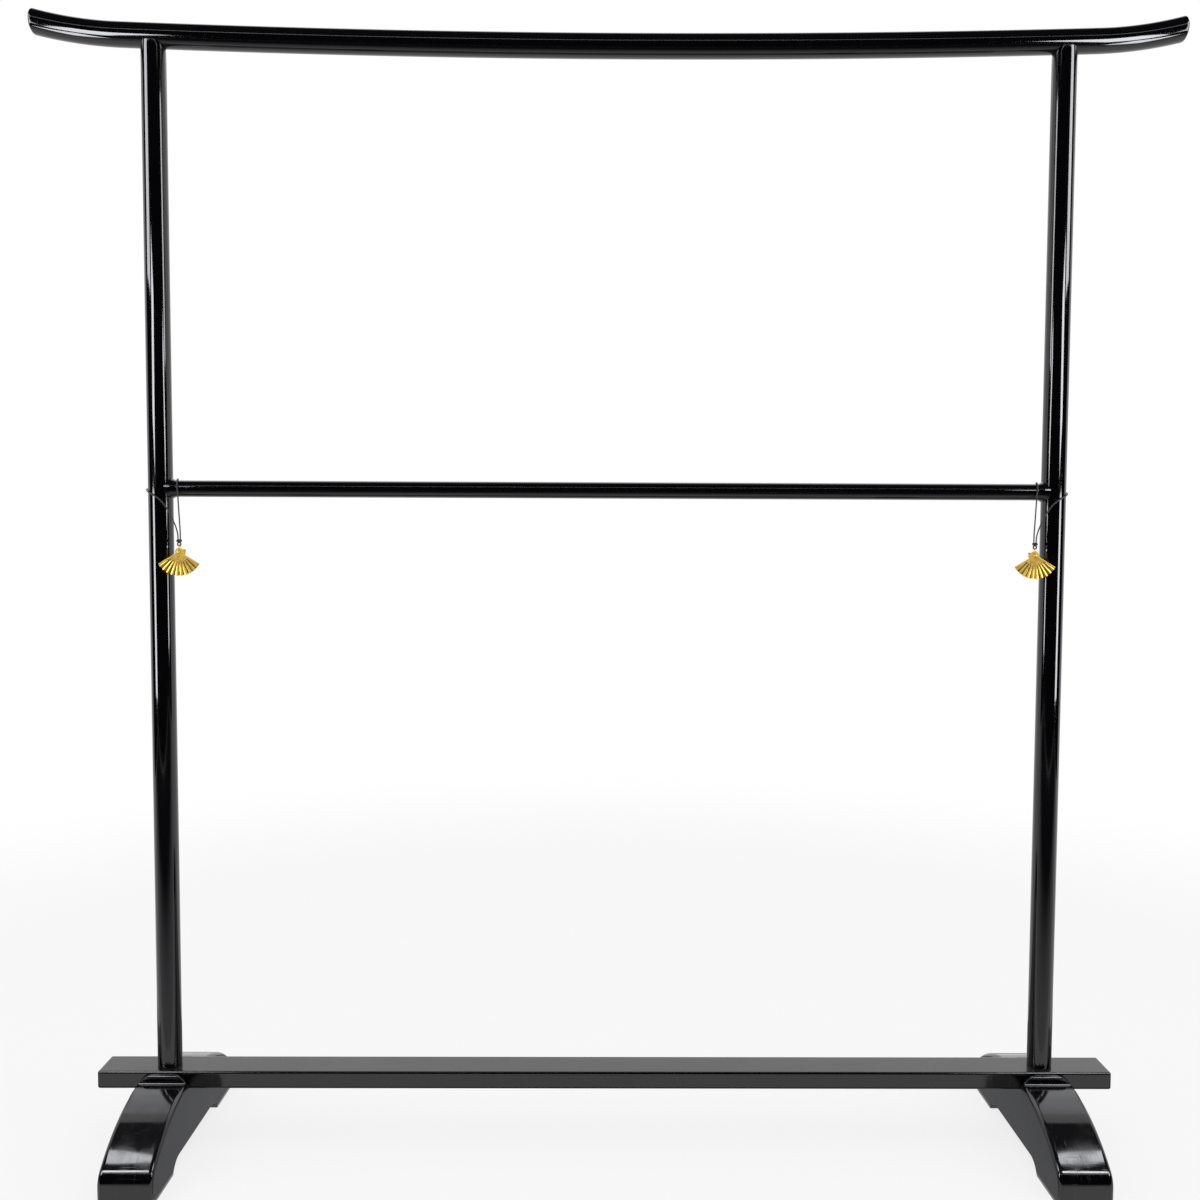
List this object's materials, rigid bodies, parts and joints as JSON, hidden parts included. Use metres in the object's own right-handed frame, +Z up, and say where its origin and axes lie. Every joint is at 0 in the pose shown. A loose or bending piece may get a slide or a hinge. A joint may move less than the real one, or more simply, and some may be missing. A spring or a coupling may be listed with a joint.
{
  "type": "kimono stand",
  "caption": "Free-standing lacquered garment stand: arched feet, base board, round posts, lift-off rail with upswept tips, and fan clips on cords.",
  "frame": {"origin": "on the floor, midway between the two posts and midway between the front and back toes", "axes": "+X to the viewer's right along the rails, +Y away from the viewer, +Z up"},
  "size_m": [1.642, 0.366, 1.6505],
  "materials": {
    "lacquered_wood": "high-gloss black lacquer with fine scratches",
    "gilt_metal": "bright gold plate on stamped sheet",
    "steel": "zinc plated",
    "brass": "turned, plain",
    "cord": "twisted dark cord"
  },
  "bodies": {
    "frame": {"left_post": "lacquered_wood", "right_post": "lacquered_wood", "middle_rail": "lacquered_wood", "base_board": "lacquered_wood", "left_foot": "lacquered_wood", "right_foot": "lacquered_wood", "left_rail_dowel": "steel", "right_rail_dowel": "steel", "left_base_bolt": "steel", "right_base_bolt": "steel", "left_base_washer": "steel", "right_base_washer": "steel", "left_post_insert": "brass", "right_post_insert": "brass", "left_cord_loop": "cord", "left_cord_knot": "cord", "right_cord_loop": "cord", "right_cord_knot": "cord"},
    "garment_rail": {"top_rail": "lacquered_wood"},
    "left_clip": {"left_clip_ring": "gilt_metal", "left_fan": "gilt_metal", "left_fan_rivet": "gilt_metal", "left_front_jaw": "gilt_metal", "left_pivot_pin": "steel", "left_jaw_spring": "steel"},
    "left_clip_jaw": {"left_back_jaw": "gilt_metal"},
    "right_clip": {"right_clip_ring": "gilt_metal", "right_fan": "gilt_metal", "right_fan_rivet": "gilt_metal", "right_front_jaw": "gilt_metal", "right_pivot_pin": "steel", "right_jaw_spring": "steel"},
    "right_clip_jaw": {"right_back_jaw": "gilt_metal"}
  },
  "joints": [
    {"name": "rail_lift", "type": "slide", "parent": "frame", "child": "garment_rail", "axis": [0, 0, 1], "range_m": [0, 0.06]},
    {"name": "left_clip_swing", "type": "hinge", "parent": "frame", "child": "left_clip", "pos_m": [-0.618, -0.0186, 0.89092], "axis": [0, -1, 0], "range_deg": [-20, 80]},
    {"name": "left_jaw_hinge", "type": "hinge", "parent": "left_clip", "child": "left_clip_jaw", "pos_m": [-0.618, -0.0147, 0.87092], "axis": [1, 0, 0], "range_deg": [0, 22], "stiffness_Nm_per_rad": 0.02, "springref_deg": -34.38, "deforming": ["left_jaw_spring"]},
    {"name": "right_clip_swing", "type": "hinge", "parent": "frame", "child": "right_clip", "pos_m": [0.618, -0.0186, 0.89092], "axis": [0, 1, 0], "range_deg": [-20, 80]},
    {"name": "right_jaw_hinge", "type": "hinge", "parent": "right_clip", "child": "right_clip_jaw", "pos_m": [0.618, -0.0147, 0.87092], "axis": [1, 0, 0], "range_deg": [0, 22], "stiffness_Nm_per_rad": 0.02, "springref_deg": -34.38, "deforming": ["right_jaw_spring"]}
  ]
}
